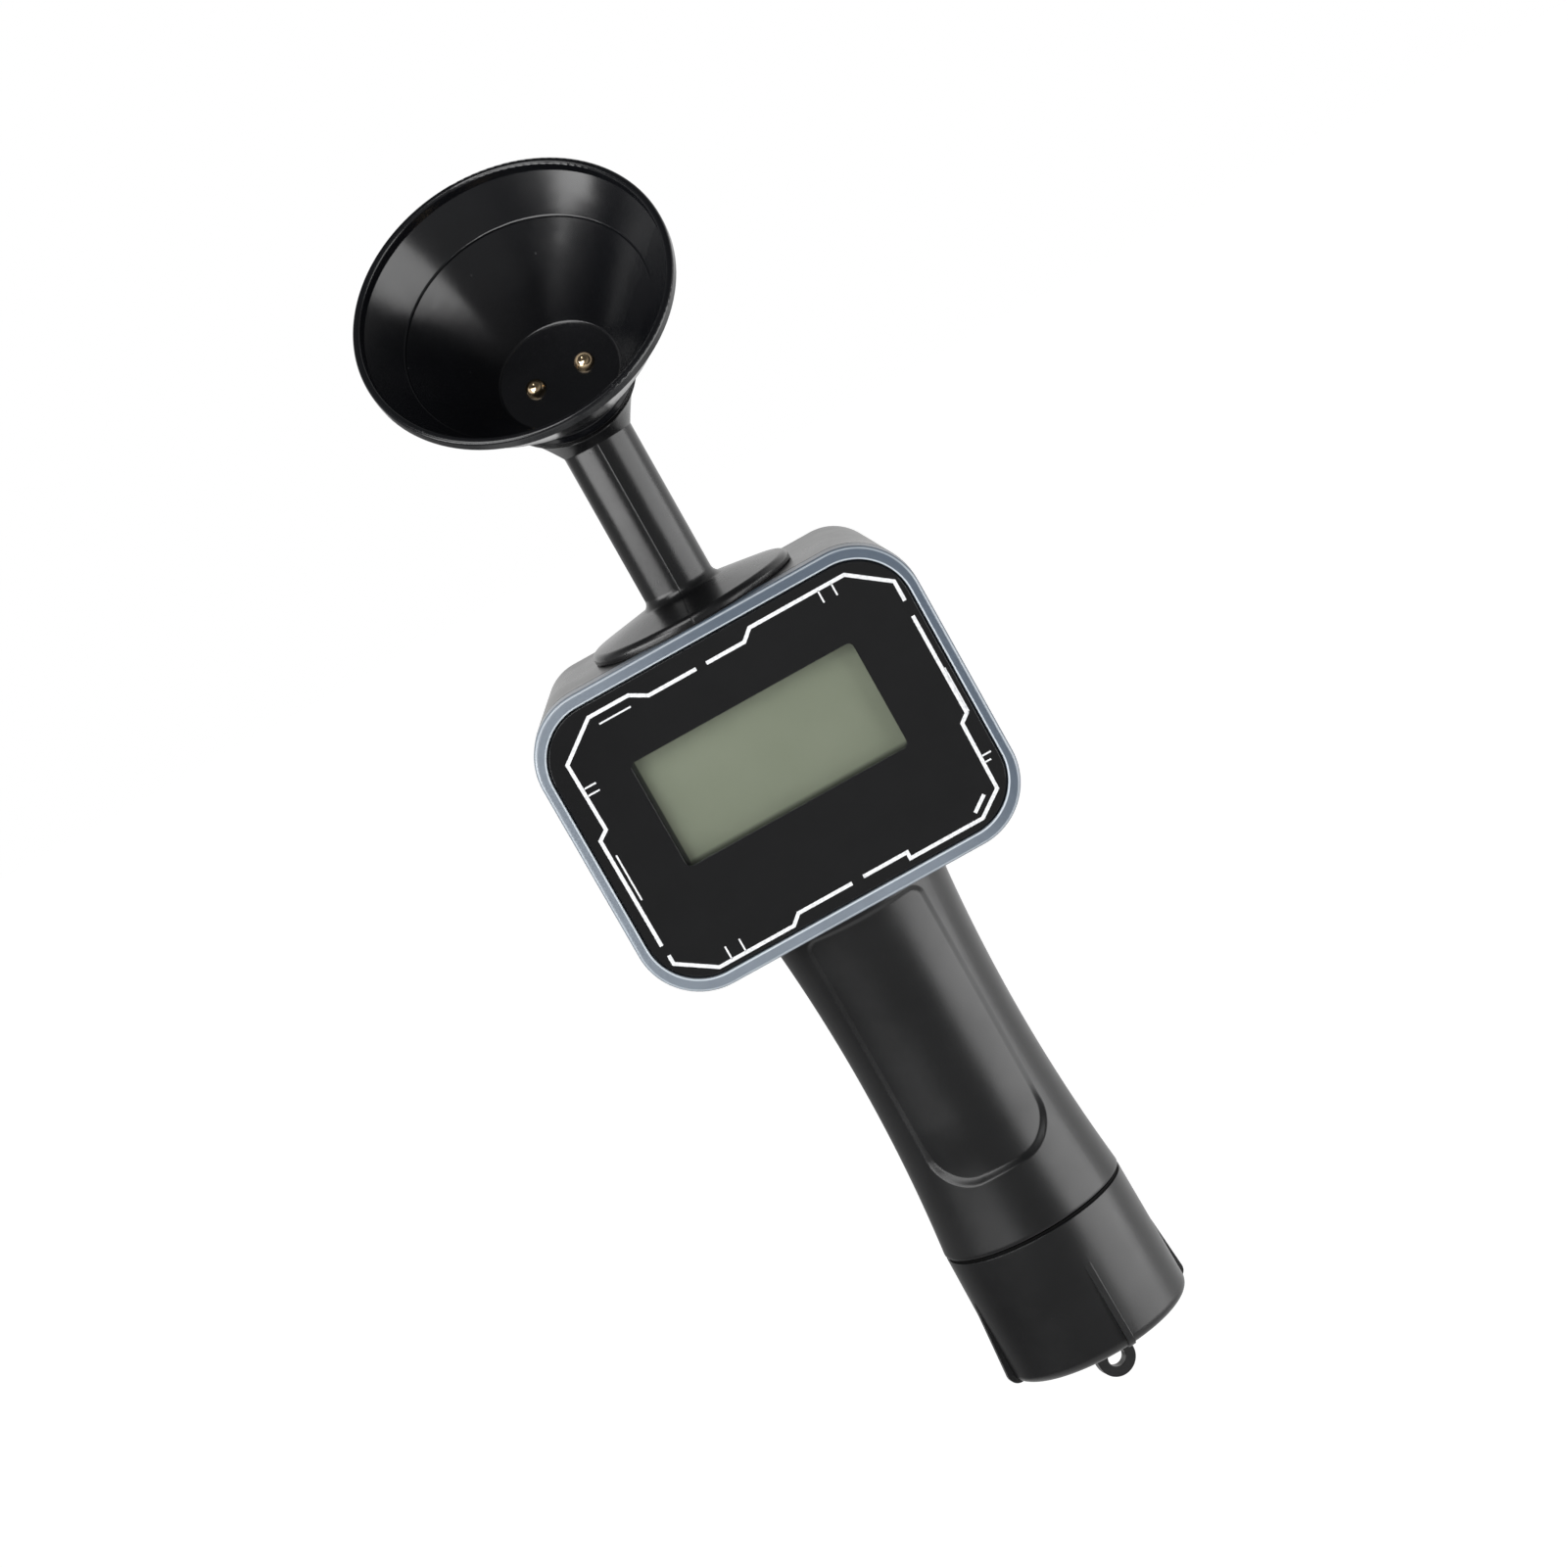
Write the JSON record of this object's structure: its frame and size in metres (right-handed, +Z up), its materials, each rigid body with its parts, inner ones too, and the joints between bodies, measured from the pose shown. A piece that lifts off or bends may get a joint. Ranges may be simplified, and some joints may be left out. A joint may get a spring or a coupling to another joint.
{
  "type": "mastitis detector",
  "caption": "Hand-held milk tester: a tilted glossy cup with electrodes on a neck, a display housing, a waisted grip and a screw-on battery cap with a lanyard eye.",
  "frame": {"origin": "centre of the lanyard eye in the lug under the battery cap", "axes": "+Z up the handle towards the cup, display and cup mouth face -Y, the housing's back faces +Y, +X to the viewer's right"},
  "size_m": [0.0852, 0.0697, 0.2827],
  "materials": {
    "cup_gloss": "moulded high gloss, light mould specks",
    "neck_semigloss": "semi-gloss with a fine parting line",
    "case_satin": "satin, very finely textured",
    "bezel_frost": "frosted, slightly translucent",
    "plate_gloss": "high gloss with a printed white line frame",
    "lens_clear": "clear and polished",
    "display_grey": "reflective grey-green, blank",
    "gold_plate": "gold plated and polished",
    "steel": "zinc plated",
    "tinned_copper": "tinned",
    "seal_rubber": "matt",
    "pad_foam": "open-cell foam",
    "holder_white": "moulded",
    "contact_rubber": "layered contact rubber",
    "board_green": "lacquered",
    "moulded_black": "moulded",
    "can_aluminium": "bare can",
    "battery_case": "painted metal jacket",
    "lead_red": "cable insulation",
    "lead_black": "cable insulation"
  },
  "bodies": {
    "device": {"battery": "battery_case", "battery_connector": "holder_white", "battery_leads": "lead_red", "battery_snap": "moulded_black", "bezel": "bezel_frost", "bezel_seal": "seal_rubber", "board_capacitors": "can_aluminium", "board_chips": "moulded_black", "button_switch": "moulded_black", "buzzer": "moulded_black", "cap_seal": "seal_rubber", "cup": "cup_gloss", "cup_gasket": "seal_rubber", "electrode_left": "gold_plate", "electrode_nuts": "steel", "electrode_right": "gold_plate", "electrode_washers": "steel", "faceplate": "plate_gloss", "grip": "case_satin", "grip_screws": "steel", "housing_screws": "steel", "lcd_holder": "holder_white", "lcd_panel": "display_grey", "lcd_strips": "contact_rubber", "main_board": "board_green", "neck": "neck_semigloss", "neck_gasket": "seal_rubber", "neck_screws": "steel", "probe_connector": "holder_white", "probe_leads": "lead_red", "rear_shell": "case_satin", "ring_terminals": "tinned_copper", "switch_board": "board_green", "switch_leads": "lead_black", "switch_screws": "steel", "window_lens": "lens_clear"},
    "cap_follower": {"cap_pad": "pad_foam"},
    "cap": {"battery_cap": "case_satin"},
    "button": {"power_button": "moulded_black"}
  },
  "joints": [
    {"name": "cap_travel", "type": "slide", "parent": "device", "child": "cap_follower", "axis": [0, 0, -1], "range_m": [0, 0.008]},
    {"name": "cap_unscrew", "type": "hinge", "parent": "cap_follower", "child": "cap", "pos_m": [0, 0, 0.0065], "axis": [0, 0, -1], "range_deg": [0, 1440]},
    {"name": "power_press", "type": "slide", "parent": "device", "child": "button", "axis": [0, -1, 0], "range_m": [0, 0.001], "stiffness_N_per_m": 1500}
  ],
  "couplings": [
    {"joint": "cap_travel", "follows": "cap_unscrew", "m_per_rad": 0.00031831}
  ]
}
